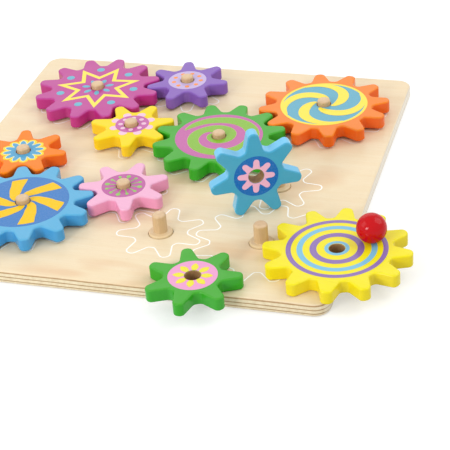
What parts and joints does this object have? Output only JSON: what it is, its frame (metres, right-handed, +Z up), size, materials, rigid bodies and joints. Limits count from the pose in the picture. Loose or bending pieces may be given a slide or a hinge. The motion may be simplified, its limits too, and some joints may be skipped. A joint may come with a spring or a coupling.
{
  "type": "crank gear toy",
  "caption": "Square plywood board with turned pegs, painted wooden gears that mesh on them, and a loose crank gear with a ball knob.",
  "frame": {"origin": "centre of the board's underside", "axes": "+Z up out of the board's printed top, +X along its front edge to the right, +Y towards its back edge"},
  "size_m": [0.3439, 0.3264, 0.0701],
  "materials": {
    "plywood": "sanded birch plywood, clear satin lacquer",
    "turned_wood": "turned beech, bare and smooth",
    "paint_green": "satin lacquer on wood",
    "paint_yellow": "satin lacquer on wood",
    "paint_magenta": "satin lacquer on wood",
    "paint_purple": "satin lacquer on wood",
    "paint_orange": "satin lacquer on wood",
    "paint_blue": "satin lacquer on wood",
    "paint_pink": "satin lacquer on wood",
    "lacquer_red": "glossy red lacquer on wood"
  },
  "bodies": {
    "pegboard": {"board": "plywood", "peg_large_green": "turned_wood", "peg_small_yellow": "turned_wood", "peg_large_magenta": "turned_wood", "peg_small_purple": "turned_wood", "peg_large_orange": "turned_wood", "peg_small_light_blue": "turned_wood", "peg_crank": "turned_wood", "peg_small_green": "turned_wood", "peg_small_pink": "turned_wood", "peg_large_blue": "turned_wood", "peg_small_orange": "turned_wood"},
    "large_green_gear": {"gear_large_green": "paint_green"},
    "small_yellow_gear": {"gear_small_yellow": "paint_yellow"},
    "large_magenta_gear": {"gear_large_magenta": "paint_magenta"},
    "small_purple_gear": {"gear_small_purple": "paint_purple"},
    "large_orange_gear": {"gear_large_orange": "paint_orange"},
    "large_blue_gear": {"gear_large_blue": "paint_blue"},
    "small_pink_gear": {"gear_small_pink": "paint_pink"},
    "small_orange_gear": {"gear_small_orange": "paint_orange"},
    "small_green_gear": {"gear_small_green": "paint_green"},
    "small_light_blue_gear": {"gear_small_light_blue": "paint_blue"},
    "crank": {"crank_gear": "paint_yellow", "crank_dowel": "turned_wood", "crank_knob": "lacquer_red"}
  },
  "joints": [
    {"name": "turn_large_green", "type": "hinge", "parent": "pegboard", "child": "large_green_gear", "pos_m": [0.03065, 0.02535, 0.01535], "axis": [0, 0, 1], "continuous": true},
    {"name": "turn_small_yellow", "type": "hinge", "parent": "pegboard", "child": "small_yellow_gear", "pos_m": [-0.03904, 0.03194, 0.01535], "axis": [0, 0, 1], "continuous": true},
    {"name": "turn_large_magenta", "type": "hinge", "parent": "pegboard", "child": "large_magenta_gear", "pos_m": [-0.08487, 0.08485, 0.01535], "axis": [0, 0, 1], "continuous": true},
    {"name": "turn_small_purple", "type": "hinge", "parent": "pegboard", "child": "small_purple_gear", "pos_m": [-0.01815, 0.10601, 0.01535], "axis": [0, 0, 1], "continuous": true},
    {"name": "turn_large_orange", "type": "hinge", "parent": "pegboard", "child": "large_orange_gear", "pos_m": [0.09535, 0.08381, 0.01535], "axis": [0, 0, 1], "continuous": true},
    {"name": "turn_large_blue", "type": "hinge", "parent": "pegboard", "child": "large_blue_gear", "pos_m": [-0.07893, -0.08234, 0.01535], "axis": [0, 0, 1], "continuous": true},
    {"name": "turn_small_pink", "type": "hinge", "parent": "pegboard", "child": "small_pink_gear", "pos_m": [-0.01629, -0.05111, 0.01535], "axis": [0, 0, 1], "continuous": true},
    {"name": "turn_small_orange", "type": "hinge", "parent": "pegboard", "child": "small_orange_gear", "pos_m": [-0.10527, -0.01748, 0.01535], "axis": [0, 0, 1], "continuous": true},
    {"name": "lift_crank", "type": "slide", "parent": "pegboard", "child": "crank", "axis": [0, 0, 1], "range_m": [0, 0.08]},
    {"name": "lift_small_green", "type": "slide", "parent": "pegboard", "child": "small_green_gear", "axis": [0, 0, 1], "range_m": [0, 0.08]},
    {"name": "lift_small_light_blue", "type": "slide", "parent": "pegboard", "child": "small_light_blue_gear", "axis": [0, 0, 1], "range_m": [0, 0.08]}
  ],
  "couplings": [
    {"joint": "turn_small_yellow", "follows": "turn_large_green", "ratio": -1.7143},
    {"joint": "turn_large_orange", "follows": "turn_large_green", "ratio": -1},
    {"joint": "turn_large_magenta", "follows": "turn_large_green", "ratio": 1},
    {"joint": "turn_small_purple", "follows": "turn_large_green", "ratio": -1.7143},
    {"joint": "turn_small_pink", "follows": "turn_large_blue", "ratio": -1.7143},
    {"joint": "turn_small_orange", "follows": "turn_large_blue", "ratio": -1.7143}
  ]
}
